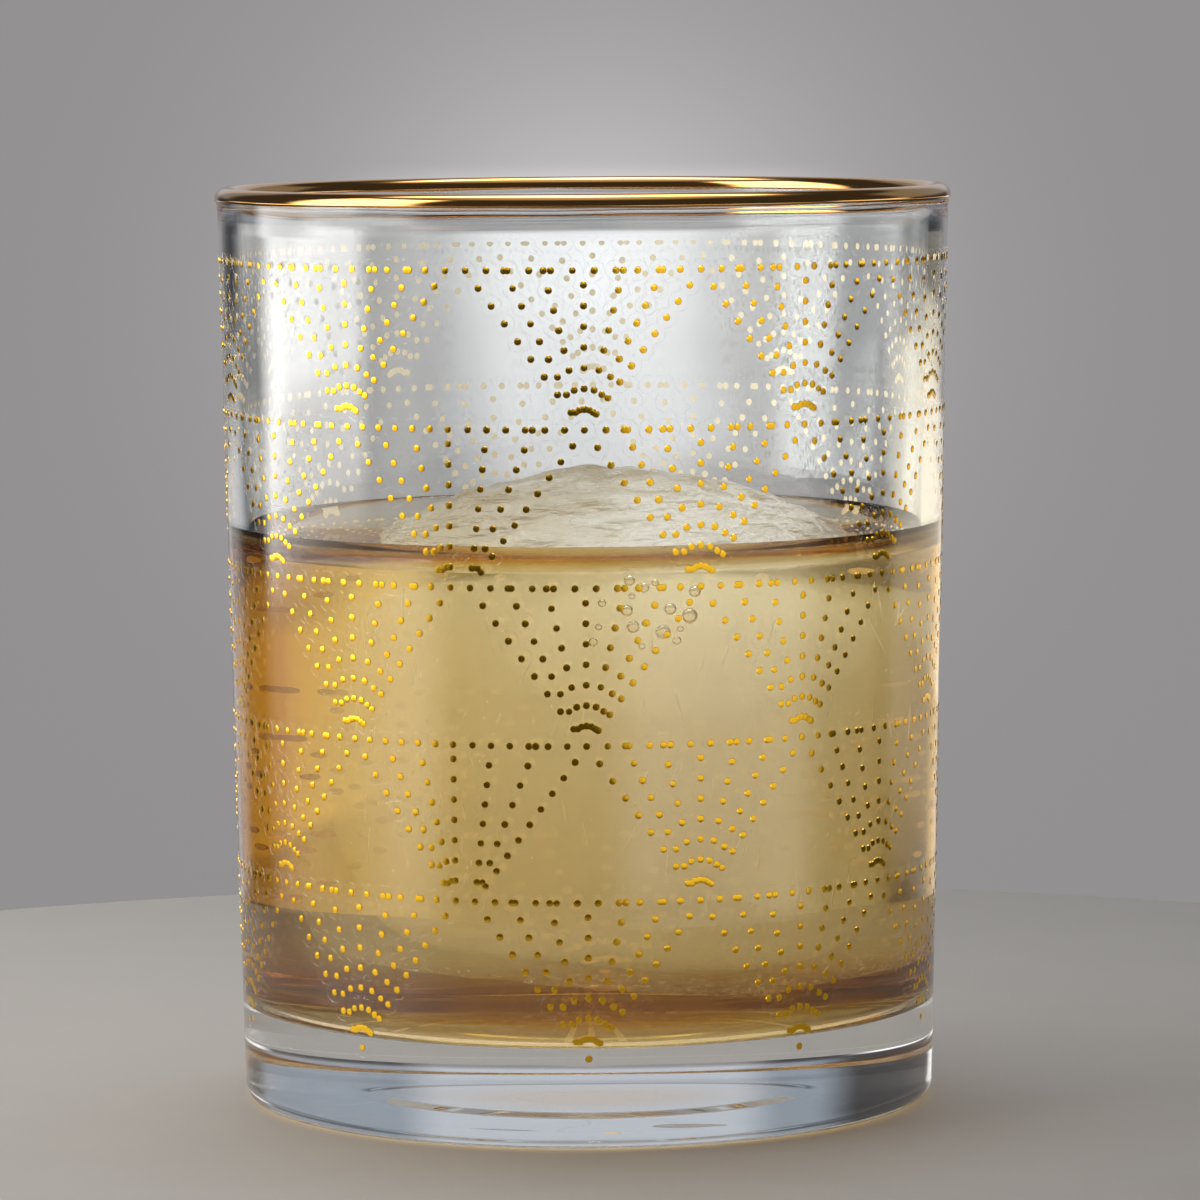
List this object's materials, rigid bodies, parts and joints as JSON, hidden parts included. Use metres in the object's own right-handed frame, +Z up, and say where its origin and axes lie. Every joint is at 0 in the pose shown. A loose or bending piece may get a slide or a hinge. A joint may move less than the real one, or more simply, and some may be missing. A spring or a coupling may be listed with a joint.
{
  "type": "rocks glass",
  "caption": "Straight-sided rocks glass with a thick clear base, a gilded rim and rows of gold dotted fans, holding an amber drink and a large floating block of ice.",
  "frame": {"origin": "on the table plane, under the middle of the glass's base", "axes": "+Z up along the glass's axis, -Y towards the viewer of the picture, the print's seam left of the front"},
  "size_m": [0.0822, 0.0822, 0.102],
  "materials": {
    "clear_glass": "polished",
    "bright_gold": "polished",
    "gold_print": "gloss",
    "amber_drink": "polished",
    "cloudy_ice": "satin"
  },
  "bodies": {
    "glass": {"glass_body": "clear_glass", "rim_gilding": "bright_gold", "print_row_1": "gold_print", "print_row_2": "gold_print", "print_row_3": "gold_print", "print_row_4": "gold_print", "print_row_5": "gold_print", "drink": "amber_drink"},
    "ice": {"ice": "cloudy_ice"}
  },
  "joints": [
    {"name": "ice_spin", "type": "hinge", "parent": "glass", "child": "ice", "pos_m": [0.004, 0, 0.0426], "axis": [0, 0, 1], "continuous": true}
  ]
}
